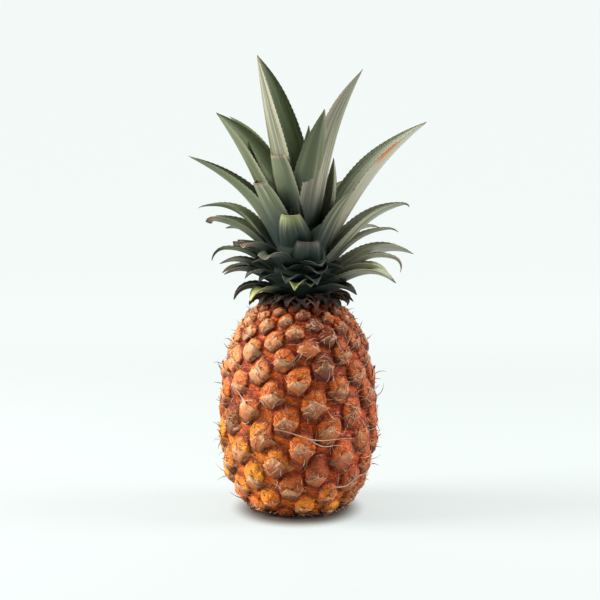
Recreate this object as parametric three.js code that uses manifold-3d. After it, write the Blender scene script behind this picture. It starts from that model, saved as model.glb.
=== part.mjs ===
// A whole ripe pineapple that stands on its base, crown up, in millimetres with +Z up.
// The origin is the middle of the flat spot that the fruit stands on. The front faces -Y.
// Three pieces: the fruit with its raised eyes, the leafy crown on its short stem, and the
// ring of small dead leaves around the neck.

import * as THREE from 'three';
import { mergeVertices } from 'three/addons/utils/BufferGeometryUtils.js';
import Module from 'manifold-3d';

const wasm = await Module();
wasm.setup();

// Driving dimensions of the fruit
const FRUIT_HEIGHT = 147;
const FRUIT_RADIUS = 56.5;
const WIDEST_HEIGHT = 66;
const UPPER_REACH = 88;
const LOWER_REACH = 74;
const UPPER_SQUARENESS = 2.35;
const LOWER_SQUARENESS = 2.5;

// Driving dimensions of the eyes, which lie on a spiral like a sunflower's seeds
const EYE_TURN = 137.562;
const FIRST_EYE_TURN = 156.57;
const FIRST_EYE_RISE = 0.0022;
const EYE_RISE = 0.02522;
const EYE_CROWDING = 0.0000472;
const LOWEST_EYE = -85;
const HIGHEST_EYE = 120;
const CREASE_DEPTH = 4.5;
const BRACT_TIP = 1.7;
const TOP_DROP = 0.1;
const SHRINK_POWER = 0.7;
const END_DEPTH = 2;

// Driving dimensions of the scar where the stalk was cut, in the middle of the base
const SCAR_INNER_RADIUS = 12.5;
const SCAR_OUTER_RADIUS = 14;
const SCAR_DEPTH = 1;
const SCAR_SEGMENTS = 32;

// Driving dimensions of the crown
const SEAT_GAP = 0.3;
const CROWN_SHIFT = 3;
const STEM_PROFILE = [
  [0, SEAT_GAP],
  [16, SEAT_GAP],
  [20, 6],
  [21, 12],
  [21, 24],
  [18, 38],
  [12, 54],
  [0, 66],
];
const STEM_SEGMENTS = 20;
const ROOT_RADIUS = 4;
const TOOTH = 1.1;
const KEEL_THICKNESS = 1.8;
const TIP_THICKNESS = 0.8;
const NARROWEST_HALF = 0.5;
const ROOT_WIDTH_SHARE = 0.86;
const FULL_WIDTH_AT = 0.35;
const NARROWS_FROM = 0.3;
const SHEATH_END = 0.3;
const TIP_FOLD = 62;
const LONG_LEAF = 95;
const LONG_LEAF_SECTIONS = 9;
const SHORT_LEAF_SECTIONS = 6;

// Driving dimensions of the ring of dead leaves
const COLLAR_INNER_RADIUS = 20.4;
const COLLAR_OUTER_RADIUS = 24.5;
const COLLAR_HEIGHT = 2;
const COLLAR_SEGMENTS = 40;
const COLLAR_ROOT_RADIUS = 22;
const COLLAR_LEAVES = 16;
const COLLAR_LEAF_SECTIONS = 3;

const FULL_TURN = 2 * Math.PI;
const radians = THREE.MathUtils.degToRad;
const lerp = THREE.MathUtils.lerp;

// The same draws on every run.
function seededDraws(seed) {
  let state = seed;
  return (low, high) => {
    state = (state * 1664525 + 1013904223) % 4294967296;
    return low + ((high - low) * state) / 4294967296;
  };
}

// Solids and meshes

function solidOf(geometry) {
  const bare = geometry.clone();
  bare.deleteAttribute('normal');
  bare.deleteAttribute('uv');
  const merged = mergeVertices(bare, 1e-4);
  return new wasm.Manifold(
    new wasm.Mesh({
      numProp: 3,
      vertProperties: new Float32Array(merged.attributes.position.array),
      triVerts: new Uint32Array(merged.index.array),
    }),
  );
}

function geometryOf(solid) {
  const mesh = solid.getMesh();
  const geometry = new THREE.BufferGeometry();
  geometry.setAttribute('position', new THREE.BufferAttribute(mesh.vertProperties, mesh.numProp));
  geometry.setIndex(new THREE.BufferAttribute(mesh.triVerts, 1));
  return geometry;
}

function geometryFrom(points, triangles) {
  const geometry = new THREE.BufferGeometry().setFromPoints(points);
  geometry.setIndex(triangles);
  return geometry;
}

// A round solid about the +Z axis from [radius, height] pairs that start and end on the axis
// or close on themselves.
function turned(pairs, segments) {
  const profile = pairs.map(([radius, height]) => new THREE.Vector2(radius, height));
  return new THREE.LatheGeometry(profile, segments).rotateX(Math.PI / 2);
}

// The fruit's outer envelope, through the tops of its eyes

function envelopeRadius(height) {
  const above = height > WIDEST_HEIGHT;
  const reach = above ? UPPER_REACH : LOWER_REACH;
  const squareness = above ? UPPER_SQUARENESS : LOWER_SQUARENESS;
  const part = Math.abs(height - WIDEST_HEIGHT) / reach;
  return FRUIT_RADIUS * Math.max(0, 1 - part ** squareness) ** (1 / squareness);
}

// Points along the envelope, each with its climb: the length along the envelope from the
// widest ring, every bit of it divided by the radius there. Equal steps of climb and of turn
// look square anywhere on the fruit, so eyes keep their shape and shrink towards both ends.
function envelopeLine() {
  const steps = 600;
  const line = [];
  for (let step = 1; step < steps; step += 1) {
    const angle = Math.PI * (step / steps);
    const reach = angle > Math.PI / 2 ? UPPER_REACH : LOWER_REACH;
    const height = WIDEST_HEIGHT - reach * Math.cos(angle);
    line.push({ radius: envelopeRadius(height), height, climb: 0 });
  }
  const middle = steps / 2 - 1;
  for (let index = middle + 1; index < line.length; index += 1) {
    line[index].climb = line[index - 1].climb + climbStep(line[index - 1], line[index]);
  }
  for (let index = middle - 1; index >= 0; index -= 1) {
    line[index].climb = line[index + 1].climb - climbStep(line[index], line[index + 1]);
  }
  return line;
}

function climbStep(below, above) {
  const length = Math.hypot(above.radius - below.radius, above.height - below.height);
  return (2 * length) / (above.radius + below.radius);
}

const envelope = envelopeLine();

// The point at a turn and a climb, sunk below the envelope by a depth in millimetres.
function fruitPoint(turn, climb, depth) {
  let low = 0;
  let high = envelope.length - 1;
  while (high - low > 1) {
    const middle = (low + high) >> 1;
    if (envelope[middle].climb > climb) high = middle;
    else low = middle;
  }
  const below = envelope[low];
  const above = envelope[high];
  const part = THREE.MathUtils.clamp((climb - below.climb) / (above.climb - below.climb), 0, 1);
  const slope = new THREE.Vector2(above.radius - below.radius, above.height - below.height);
  slope.normalize();
  const radius = lerp(below.radius, above.radius, part) - slope.y * depth;
  const height = lerp(below.height, above.height, part) + slope.x * depth;
  return new THREE.Vector3(radius * Math.cos(turn), radius * Math.sin(turn), height);
}

// Eyes are smaller and shallower where the fruit is narrower.
function sizeScale(climb) {
  return (fruitPoint(0, climb, 0).x / FRUIT_RADIUS) ** SHRINK_POWER;
}

// The eyes. Eye by eye the spiral turns by nearly the golden angle and climbs a little, so
// each eye touches those 8, 13 and 21 places further along, and its cell has six corners.

function eyePlace(number) {
  return {
    turn: radians(FIRST_EYE_TURN + EYE_TURN * number),
    climb: FIRST_EYE_RISE + EYE_RISE * number - EYE_CROWDING * number ** 2,
  };
}

// The corner between an eye, the one a number of places on, and the one 21 places on.
function cellCorner(number, places) {
  const eyes = [eyePlace(number), eyePlace(number + places), eyePlace(number + 21)];
  const nearest = eyes.map(({ turn }) => {
    const away = turn - eyes[0].turn;
    return away - FULL_TURN * Math.round(away / FULL_TURN);
  });
  return {
    turn: eyes[0].turn + (nearest[0] + nearest[1] + nearest[2]) / 3,
    climb: (eyes[0].climb + eyes[1].climb + eyes[2].climb) / 3,
  };
}

// Rings of one eye, from its top out: the share of the way to the corner, and the share of
// the crease's depth. The top lies a little below the cell's middle, over a steep underside.
const EYE_RINGS = [
  { reach: 0.24, sink: 0 },
  { reach: 0.66, sink: 0.24 },
];

function eyeTriangles(number, points, triangles) {
  const centre = eyePlace(number);
  const corners = [
    cellCorner(number, 8),
    cellCorner(number, 13),
    cellCorner(number - 8, 8),
    cellCorner(number - 21, 13),
    cellCorner(number - 21, 8),
    cellCorner(number - 13, 13),
  ];
  const cellHeight = corners[1].climb - corners[4].climb;
  const top = { turn: centre.turn, climb: centre.climb - TOP_DROP * cellHeight };
  const scale = sizeScale(centre.climb);
  const first = points.length;
  points.push(fruitPoint(top.turn, top.climb, -BRACT_TIP * scale));
  for (const { reach, sink } of EYE_RINGS) {
    for (const corner of corners) {
      const away = corner.turn - centre.turn;
      const nearest = away - FULL_TURN * Math.round(away / FULL_TURN);
      const turn = top.turn + reach * nearest;
      const climb = lerp(top.climb, corner.climb, reach);
      points.push(fruitPoint(turn, climb, sink * CREASE_DEPTH * scale));
    }
  }
  for (const corner of corners) {
    const depth = CREASE_DEPTH * sizeScale(corner.climb);
    points.push(fruitPoint(corner.turn, corner.climb, depth));
  }
  const rings = EYE_RINGS.length + 1;
  for (let side = 0; side < 6; side += 1) {
    const next = (side + 1) % 6;
    triangles.push(first, first + 1 + side, first + 1 + next);
    for (let ring = 1; ring < rings; ring += 1) {
      const inner = first + 1 + 6 * (ring - 1);
      const outer = first + 1 + 6 * ring;
      triangles.push(inner + side, outer + side, outer + next);
      triangles.push(inner + side, outer + next, inner + next);
    }
  }
}

// Closes a surface that is open at both ends with a fan from a point inside each end.
function closeEnds(geometry, middleHeight, topPoint, bottomPoint) {
  const position = geometry.attributes.position;
  const points = [];
  for (let index = 0; index < position.count; index += 1) {
    points.push(new THREE.Vector3().fromBufferAttribute(position, index));
  }
  const triangles = Array.from(geometry.index.array);
  const top = points.push(topPoint) - 1;
  const bottom = points.push(bottomPoint) - 1;
  const edges = new Map();
  for (let index = 0; index < triangles.length; index += 3) {
    for (let side = 0; side < 3; side += 1) {
      const start = triangles[index + side];
      const end = triangles[index + ((side + 1) % 3)];
      edges.set(`${start},${end}`, [start, end]);
    }
  }
  for (const [start, end] of edges.values()) {
    if (edges.has(`${end},${start}`)) continue;
    const apex = points[start].z > middleHeight ? top : bottom;
    triangles.push(end, start, apex);
  }
  return geometryFrom(points, triangles);
}

function fruitSolid() {
  const points = [];
  const triangles = [];
  for (let number = LOWEST_EYE; number <= HIGHEST_EYE; number += 1) {
    eyeTriangles(number, points, triangles);
  }
  const open = mergeVertices(geometryFrom(points, triangles), 1e-3);
  const topPoint = new THREE.Vector3(0, 0, WIDEST_HEIGHT + UPPER_REACH - END_DEPTH);
  const bottomPoint = new THREE.Vector3(0, 0, WIDEST_HEIGHT - LOWER_REACH + END_DEPTH);
  const closed = closeEnds(open, WIDEST_HEIGHT, topPoint, bottomPoint);
  const width = 4 * FRUIT_RADIUS;
  const slab = new THREE.BoxGeometry(width, width, FRUIT_HEIGHT);
  slab.translate(0, 0, FRUIT_HEIGHT / 2);
  const groove = turned(
    [
      [SCAR_INNER_RADIUS, -SCAR_DEPTH],
      [SCAR_OUTER_RADIUS, -SCAR_DEPTH],
      [SCAR_OUTER_RADIUS, SCAR_DEPTH],
      [SCAR_INNER_RADIUS, SCAR_DEPTH],
      [SCAR_INNER_RADIUS, -SCAR_DEPTH],
    ],
    SCAR_SEGMENTS,
  );
  return solidOf(closed).intersect(solidOf(slab)).subtract(solidOf(groove));
}

// Leaves. A leaf is a stiff channel that opens towards the crown's axis. Its keel runs in an
// upright plane, along a curve from the root to the tip and then round a curl, if it has one.
//   turn   compass direction of the plane, 0 at +X and 90 at +Y, at the back
//   root   height of the root above the fruit
//   reach  how far the tip is from the crown's axis
//   tip    height of the tip above the fruit
//   rise   slope of the keel at the root, in degrees above level
//   lean   slope of the keel near the tip
//   width  width of the blade if it was laid flat
//   fold   half the angle that the channel is bent round, a third of the way along
//   sheath the same at the root, where a leaf wraps round the stem
//   taper  high for a leaf that stays wide nearly to its tip
//   cut    share of the leaf that is left where its end has dried up and broken off
//   curl   length of the curled tip, and curlTurn how far round it goes

const PLAIN_LEAF = {
  fold: 45,
  sheath: 75,
  taper: 2.2,
  cut: 1,
  curl: 0,
  curlTurn: 90,
  bowRoot: 0.4,
  bowTip: 0.4,
};

function leaf(turn, root, reach, tip, rise, lean, width, more) {
  return { ...PLAIN_LEAF, turn, root, reach, tip, rise, lean, width, ...more };
}

const INNER_LEAVES = [
  leaf(157, 22, 34, 171, 77, 80, 55, { fold: 98, taper: 3.4 }),
  leaf(335, 20, 45, 161, 77, 60, 36, { fold: 66, taper: 2.6 }),
  leaf(300, 20, 30, 134, 84, 74, 32, { fold: 60, taper: 2.8 }),
  leaf(76, 26, 19, 122, 82, 86, 22),
  leaf(20, 18, 23, 100, 66, 100, 26, { fold: 60, taper: 3 }),
  leaf(24, 14, 97, 124, 56, 34, 39, { fold: 80, taper: 2.8 }),
  leaf(345, 13, 38, 80, 58, 56, 30, { fold: 65, taper: 3 }),
  leaf(152, 20, 69, 131, 62, 48, 50, { fold: 86, taper: 3 }),
  leaf(133, 22, 77, 128, 66, 30, 26, { taper: 2.4 }),
  leaf(205, 18, 23, 103, 76, 80, 35, { fold: 62, taper: 5, cut: 0.88 }),
  leaf(200, 16, 35, 83, 68, 66, 36, { fold: 58, taper: 5, cut: 0.88 }),
  leaf(168, 12, 82, 101, 60, 26, 36, { fold: 80, taper: 1.7, bowTip: 0.5 }),
];

const MIDDLE_LEAVES = [
  leaf(160, 11, 75, 65, 50, -8, 22, { taper: 2.4, curl: 4, curlTurn: 30, bowRoot: 0.5 }),
  leaf(160, 10, 66, 55, 46, 6, 28, { fold: 60, taper: 2.6, cut: 0.88, curl: 4, curlTurn: 80 }),
  leaf(250, 12, 27, 62, 78, 78, 30, { fold: 48, taper: 3, cut: 0.84 }),
  leaf(308, 15, 23, 57, 76, 66, 27),
  leaf(279, 9, 28, 44, 68, 80, 25, { fold: 38, taper: 3, cut: 0.74 }),
  leaf(12, 10, 73, 67, 42, 14, 32, { fold: 62, taper: 2.4, curl: 5, curlTurn: 80 }),
  leaf(10, 9, 62, 50, 42, 4, 18, { curl: 7, curlTurn: 50 }),
  leaf(10, 6, 80, 32, 24, -20, 30, { fold: 68, taper: 2.8 }),
  leaf(352, 5, 64, 31, 20, -15, 20, { taper: 1.6, curl: 12, curlTurn: 100 }),
];

const OUTER_LEAVES = [
  leaf(165, 7, 49, 38, 32, 0, 24, { cut: 0.75 }),
  leaf(182, 7, 54, 37, 30, -2, 15, { curl: 13, curlTurn: 80 }),
  leaf(208, 7, 46, 40, 32, -15, 24, { cut: 0.85 }),
  leaf(232, 7, 42, 33, 33, -20, 23, { cut: 0.8 }),
  leaf(176, 5, 58, 26, 28, -22, 22),
  leaf(190, 4, 55, 20, 22, -26, 22),
  leaf(203, 4, 43, 18, 20, -50, 24),
  leaf(188, 3, 48, 2, 12, -65, 24),
  leaf(212, 3, 42, 3, 11, -65, 24),
  leaf(262, 4, 38, 12, 20, -50, 22),
  leaf(280, 4, 34, 14, 20, -30, 24),
  leaf(292, 6, 32, 23, 35, -15, 24, { cut: 0.8 }),
  leaf(340, 5, 64, 20, 20, -42, 24),
  leaf(330, 4, 73, 17, 14, -35, 24),
  leaf(315, 3, 52, 9, 11, -30, 20),
];

// Leaves at the back, where rows of leaves of one size stand side by side in a fan.
const BACK_ROWS = [
  { leaves: 6, from: 25, to: 158, root: 5, reach: 57, tip: 17, rise: 20, lean: -35, width: 22 },
  { leaves: 6, from: 34, to: 146, root: 9, reach: 62, tip: 46, rise: 42, lean: -10, width: 26 },
  { leaves: 5, from: 55, to: 130, root: 14, reach: 50, tip: 76, rise: 62, lean: 30, width: 30 },
  { leaves: 3, from: 70, to: 112, root: 20, reach: 27, tip: 100, rise: 74, lean: 70, width: 28 },
];

// Short leaves at the front, in rows around the broken ones.
const FRONT_ROWS = [
  { leaves: 4, from: 222, to: 318, root: 5, reach: 39, tip: 16, rise: 26, lean: -35, width: 22 },
  { leaves: 4, from: 208, to: 326, root: 9, reach: 36, tip: 27, rise: 45, lean: -12, width: 26 },
];

function rowOfLeaves(row, draw) {
  const leaves = [];
  for (let index = 0; index < row.leaves; index += 1) {
    const turn = lerp(row.from, row.to, index / (row.leaves - 1)) + draw(-4, 4);
    const size = draw(0.9, 1.1);
    const reach = row.reach * size;
    const tip = row.tip * size;
    const width = row.width * size;
    leaves.push(leaf(turn, row.root, reach, tip, row.rise + draw(-3, 3), row.lean, width));
  }
  return leaves;
}

// The keel's line in its plane: x out from the axis and y up from the fruit.
function keelLine(blade, rootRadius) {
  const start = new THREE.Vector2(rootRadius, blade.root);
  const end = new THREE.Vector2(blade.reach, blade.tip);
  const length = start.distanceTo(end);
  const rise = radians(blade.rise);
  const lean = radians(blade.lean);
  const rootWay = new THREE.Vector2(Math.cos(rise), Math.sin(rise));
  const tipWay = new THREE.Vector2(Math.cos(lean), Math.sin(lean));
  const curve = new THREE.CubicBezierCurve(
    start,
    start.clone().addScaledVector(rootWay, blade.bowRoot * length),
    end.clone().addScaledVector(tipWay, -blade.bowTip * length),
    end,
  );
  const line = curve.getPoints(60);
  const curlSteps = blade.curl > 0 ? 12 : 0;
  for (let step = 0; step < curlSteps; step += 1) {
    const angle = lean - (radians(blade.curlTurn) * (step + 0.5)) / curlSteps;
    const last = line[line.length - 1];
    const way = new THREE.Vector2(Math.cos(angle), Math.sin(angle));
    line.push(last.clone().addScaledVector(way, blade.curl / curlSteps));
  }
  return line;
}

// The point at a share of a line's length, and the line's direction there.
function alongLine(line, share) {
  const lengths = [0];
  for (let index = 1; index < line.length; index += 1) {
    lengths.push(lengths[index - 1] + line[index].distanceTo(line[index - 1]));
  }
  const wanted = share * lengths[lengths.length - 1];
  let index = 1;
  while (index < line.length - 1 && lengths[index] < wanted) index += 1;
  const part = (wanted - lengths[index - 1]) / (lengths[index] - lengths[index - 1]);
  return {
    place: line[index - 1].clone().lerp(line[index], part),
    way: line[index].clone().sub(line[index - 1]).normalize(),
  };
}

// Half the blade's flat width at a share of its length.
function halfWidth(blade, share) {
  const whole = share * blade.cut;
  const swell = Math.sin((Math.min(whole / FULL_WIDTH_AT, 1) * Math.PI) / 2);
  const base = lerp(ROOT_WIDTH_SHARE, 1, swell);
  const beyond = Math.max(0, (whole - NARROWS_FROM) / (1 - NARROWS_FROM));
  return Math.max(NARROWEST_HALF, (blade.width / 2) * base * (1 - beyond ** blade.taper));
}

// Half the angle of the channel at a share of its length: nearly closed at the root.
function channelAngle(blade, share) {
  if (share < SHEATH_END) return radians(lerp(blade.sheath, blade.fold, share / SHEATH_END));
  const beyond = (share - SHEATH_END) / (1 - SHEATH_END);
  return radians(lerp(blade.fold, TIP_FOLD, beyond ** 2));
}

// One blade as a closed solid. Each cross-section has the outer keel, the two margins and the
// inner keel, and every second one stands out by a tooth.
function bladeGeometry(blade, seat, sections, tooth) {
  const line = keelLine(blade, seat.rootRadius);
  const turn = radians(blade.turn);
  const outward = new THREE.Vector3(Math.cos(turn), Math.sin(turn), 0);
  const sideways = new THREE.Vector3(-Math.sin(turn), Math.cos(turn), 0);
  const points = [];
  const triangles = [];
  for (let section = 0; section <= sections; section += 1) {
    const share = section / sections;
    const { place, way } = alongLine(line, share);
    const keel = seat.middle.clone().addScaledVector(outward, place.x);
    keel.z += place.y;
    const along = outward.clone().multiplyScalar(way.x);
    along.z = way.y;
    const inward = along.clone().cross(sideways);
    const toothed = section % 2 === 1 ? tooth * Math.min(1, 3 - 3 * share) : 0;
    const half = halfWidth(blade, share) + toothed;
    const angle = channelAngle(blade, share);
    const bend = half / angle;
    const spread = bend * Math.sin(angle);
    const depth = bend * (1 - Math.cos(angle));
    const thickness = lerp(KEEL_THICKNESS, TIP_THICKNESS, share);
    const edge = keel.clone().addScaledVector(inward, depth);
    const first = points.length;
    points.push(
      keel.clone().addScaledVector(inward, -thickness / 2),
      edge.clone().addScaledVector(sideways, spread),
      keel.clone().addScaledVector(inward, thickness / 2),
      edge.clone().addScaledVector(sideways, -spread),
    );
    if (section === sections) continue;
    const next = first + 4;
    const halves = [
      [0, 1],
      [2, 1],
      [2, 3],
      [0, 3],
    ];
    halves.forEach(([middle, margin], index) => {
      const faces = [
        [first + middle, first + margin, next + margin],
        [first + middle, next + margin, next + middle],
      ];
      const flipped = index % 2 === 1;
      faces.forEach((face) => triangles.push(...(flipped ? face.reverse() : face)));
    });
  }
  const last = 4 * sections;
  triangles.push(0, 2, 1, 0, 3, 2);
  triangles.push(last, last + 1, last + 2, last, last + 2, last + 3);
  return geometryFrom(points, triangles);
}

// One solid from several that cross, with any space that they shut in filled up.
function joined(geometries) {
  const [first, ...others] = geometries.map(solidOf);
  const whole = others.reduce((sum, solid) => sum.add(solid), first);
  const shells = whole.decompose();
  return shells.reduce((best, shell) => (shell.volume() > best.volume() ? shell : best));
}

const crownMiddle = new THREE.Vector3(CROWN_SHIFT, 0, FRUIT_HEIGHT);

function crownSolid() {
  const draw = seededDraws(7);
  const rows = [...BACK_ROWS, ...FRONT_ROWS].flatMap((row) => rowOfLeaves(row, draw));
  const leaves = [...INNER_LEAVES, ...MIDDLE_LEAVES, ...OUTER_LEAVES, ...rows];
  const seat = { middle: crownMiddle, rootRadius: ROOT_RADIUS };
  const stem = turned(STEM_PROFILE, STEM_SEGMENTS);
  stem.translate(crownMiddle.x, crownMiddle.y, crownMiddle.z);
  const blades = leaves.map((blade) => {
    const length = Math.hypot(blade.reach, blade.tip - blade.root);
    const sections = length > LONG_LEAF ? LONG_LEAF_SECTIONS : SHORT_LEAF_SECTIONS;
    return bladeGeometry(blade, seat, sections, TOOTH);
  });
  return joined([stem, ...blades]);
}

function collarSolid() {
  const draw = seededDraws(23);
  const seat = { middle: crownMiddle, rootRadius: COLLAR_ROOT_RADIUS };
  const ring = turned(
    [
      [COLLAR_INNER_RADIUS, SEAT_GAP],
      [COLLAR_OUTER_RADIUS, SEAT_GAP],
      [COLLAR_OUTER_RADIUS - 1, COLLAR_HEIGHT],
      [COLLAR_INNER_RADIUS, COLLAR_HEIGHT],
      [COLLAR_INNER_RADIUS, SEAT_GAP],
    ],
    COLLAR_SEGMENTS,
  );
  ring.translate(seat.middle.x, seat.middle.y, seat.middle.z);
  const blades = [];
  for (let index = 0; index < COLLAR_LEAVES; index += 1) {
    const turn = (360 * index) / COLLAR_LEAVES + draw(-6, 6);
    const shape = { sheath: 15, fold: 30, curl: draw(2, 4), curlTurn: draw(20, 60) };
    const blade = leaf(turn, 1.4, draw(30, 34), draw(0.5, 1.7), 0, -30, draw(8, 12), shape);
    blades.push(bladeGeometry(blade, seat, COLLAR_LEAF_SECTIONS, 0));
  }
  return joined([ring, ...blades]);
}

// The pieces and their looks

const fruitSkin = new THREE.MeshStandardMaterial({ color: 0xc1662c, roughness: 0.7, metalness: 0 });
const leafGreen = new THREE.MeshStandardMaterial({ color: 0x5d7060, roughness: 0.6, metalness: 0 });
const dryBrown = new THREE.MeshStandardMaterial({ color: 0x33271f, roughness: 0.85, metalness: 0 });

function piece(name, solid, material) {
  const mesh = new THREE.Mesh(geometryOf(solid), material);
  mesh.name = name;
  return mesh;
}

const pineapple = new THREE.Group();
pineapple.add(piece('fruit', fruitSolid(), fruitSkin));
pineapple.add(piece('crown', crownSolid(), leafGreen));
pineapple.add(piece('neck_collar', collarSolid(), dryBrown));

export default pineapple;
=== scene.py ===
import math
import random

import bpy
import numpy as np
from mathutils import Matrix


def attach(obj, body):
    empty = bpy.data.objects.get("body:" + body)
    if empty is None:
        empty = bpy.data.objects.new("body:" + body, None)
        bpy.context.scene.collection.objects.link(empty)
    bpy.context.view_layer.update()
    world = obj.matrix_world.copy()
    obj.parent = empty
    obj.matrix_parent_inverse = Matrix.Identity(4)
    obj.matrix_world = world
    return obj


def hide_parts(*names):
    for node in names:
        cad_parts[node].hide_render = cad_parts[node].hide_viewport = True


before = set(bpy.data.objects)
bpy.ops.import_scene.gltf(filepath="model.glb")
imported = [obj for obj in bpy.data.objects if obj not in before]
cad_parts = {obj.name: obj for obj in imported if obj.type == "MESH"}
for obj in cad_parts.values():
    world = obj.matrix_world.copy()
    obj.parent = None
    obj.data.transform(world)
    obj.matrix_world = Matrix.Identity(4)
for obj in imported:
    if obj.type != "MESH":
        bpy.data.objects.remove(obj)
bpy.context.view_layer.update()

# Shapes and the camera's place are in millimetres. Materials, the floor and lights are in metres.
MM = 0.001

# Driving dimensions of the fruit, the same as the solid's
FRUIT_HEIGHT = 147
FRUIT_RADIUS = 56.5
WIDEST_HEIGHT = 66
UPPER_REACH = 88
LOWER_REACH = 74
UPPER_SQUARENESS = 2.35
LOWER_SQUARENESS = 2.5

# Driving dimensions of the eyes
EYE_TURN = math.radians(137.562)
FIRST_EYE_TURN = math.radians(156.57)
FIRST_EYE_RISE = 0.0022
EYE_RISE = 0.02522
EYE_CROWDING = 0.0000472
LOWEST_EYE = -85
HIGHEST_EYE = 120
CREASE_DEPTH = 4.8
TOP_DROP = 0.1
SHRINK_POWER = 0.7
CELL_RINGS = 12
CELL_SIDES = 24
SKIN_SINK = 0.35

# How an eye's dome rises: its rounding, its steeper lower edge, and its uneven outline
DOME_POWER = 1.9
LOWER_EDGE_POWER = 1.5
DOME_ROUNDING = 0.82
DOME_END = 0.84
OUTLINE_WARP = 0.22
WARP_SIZE = 0.5

# The two folds on an eye: how deep and how wide they are, in shares of the dome
FOLD_DEPTH = 0.20
FOLD_WIDTH = 0.07

# Wrinkles of the skin: height, size, how much they are squashed in height, and seed
SMALL_WRINKLES = [(0.55, 4.2, 1.5, 1), (0.32, 2.0, 1.3, 2)]
BROAD_WRINKLES = (0.6, 9.0, 3)
KNOB_SMOOTHNESS = 0.40

# Bracts: points along and across, where the foot is, and heights over the skin
BRACT_ROWS = 15
BRACT_COLUMNS = 11
BRACT_FOOT = -0.74
BRACT_SHARES = (0, 0.10, 0.24, 0.38, 0.52, 0.68, 0.84, 1)
BRACT_LIFT = 0.22
BRACT_THICKNESS = 0.22
LEAST_LIFT = 0.12

# Dry threads: sides and points of each, and how far out they may stand in front and behind
THREAD_SIDES = 4
THREAD_POINTS = 8
FRINGE_THREADS = 60
THREAD_FRONT = -59.4
THREAD_BACK = 61.2

# Bruised, dark mauve eyes at the front: how far across and how high each is
BRUISES = [(15, 133), (16, 112), (33, 9), (2, 38), (-44, 60)]
BRUISE_REACH = 9

# Driving dimensions of the crown
CROWN_SHIFT = 3
ROOT_RADIUS = 4
TOOTH_PITCH = 3.4
TOOTH_DEPTH = 0.45
PLAIN_PITCH = 2.2
FEWEST_ROWS = 10
BLADE_COLUMNS = 9
SHEATH_END = 0.3
TIP_FOLD = 62
ROOT_WIDTH_SHARE = 0.86
FULL_WIDTH_AT = 0.35
NARROWS_FROM = 0.3
NARROWEST_HALF = 0.35
RIPPLE_HEIGHT = 0.25
RIPPLE_LENGTH = 9
KEEL_THICKNESS = 0.75
TIP_THINNING = 0.45
MARGIN_THINNING = 0.75
MARGIN_THICKNESS = 0.12
CURL_STEPS = 12
HEART_PROFILE = [(0, 0.3), (16, 0.3), (20, 6), (21, 12), (21, 24), (18, 38), (12, 54), (0.5, 66)]
HEART_SIDES = 40
COLLAR_LEAVES = 46
COLLAR_ROOT_RADIUS = 19

# The scar under the base: radius and height
SCAR_PROFILE = [(0, 0), (6, 0), (12.3, 0), (12.6, 0.9), (13.9, 0.9), (14.2, 0), (24, 0)]
SCAR_SIDES = 48

# The camera: how high it looks down from, how far it stands, and what it looks at
CAMERA_ELEVATION = math.radians(7)
CAMERA_DISTANCE = 1200
CAMERA_AIM = (1.4, 0, 148)
CAMERA_LENS = 102.86

# The floor, in metres, and how brightly it and the wall behind it glow; close round the fruit's foot
# a painted contact shadow darkens the floor and dims its glow
FLOOR_FRONT = -1.6
FLOOR_BACK = 1.2
FLOOR_HALF = 2.6
WALL_BEND = 0.8
WALL_TOP = 3.0
FLOOR_GLOW = 0.648
CONTACT_SHADOW_GLOW = 0.02
CONTACT_SHADOW_REACH = 0.040
SHADE_REACH = 0.064
SHADE_SQUEEZE = 1.28

FULL_TURN = 2 * math.pi


# Colours and meshes

def colour(red, green, blue):
    """A linear colour from the three screen values, 0 to 255."""
    linear = []
    for value in (red, green, blue):
        share = value / 255
        linear.append(share / 12.92 if share <= 0.04045 else ((share + 0.055) / 1.055) ** 2.4)
    return (*linear, 1)


def new_object(name, data):
    made = bpy.data.objects.new(name, data)
    bpy.context.scene.collection.objects.link(made)
    return made


def grid_faces(rows, columns, first=0, closed=False):
    """The four-sided faces of a grid of points, in rows."""
    faces = []
    across = columns if closed else columns - 1
    for row in range(rows - 1):
        for column in range(across):
            here = first + row * columns + column
            beside = first + row * columns + (column + 1) % columns
            faces.append((here, beside, beside + columns, here + columns))
    return faces


def closed_sheet(front, back, rows, columns, turned_rim=False):
    """Points and faces of a thin sheet from its front and its back, each in rows."""
    count = rows * columns
    faces = grid_faces(rows, columns)
    faces += [tuple(reversed(face)) for face in grid_faces(rows, columns, count)]
    rim = list(range(columns)) + [row * columns + columns - 1 for row in range(1, rows)]
    rim += [(rows - 1) * columns + column for column in range(columns - 2, -1, -1)]
    rim += [row * columns for row in range(rows - 2, 0, -1)]
    for start, end in zip(rim, rim[1:] + rim[:1]):
        face = (end, start, start + count, end + count)
        faces.append(tuple(reversed(face)) if turned_rim else face)
    return np.concatenate([front.reshape(-1, 3), back.reshape(-1, 3)]), faces


def turned_points(profile, sides, middle=(0, 0, 0)):
    """Rings of points from a profile of radii and heights, about an upright axis."""
    angle = FULL_TURN * np.arange(sides) / sides
    rings = [
        np.stack([radius * np.cos(angle), radius * np.sin(angle), np.full(sides, height)], -1)
        for radius, height in profile
    ]
    return np.concatenate(rings) + middle


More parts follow.
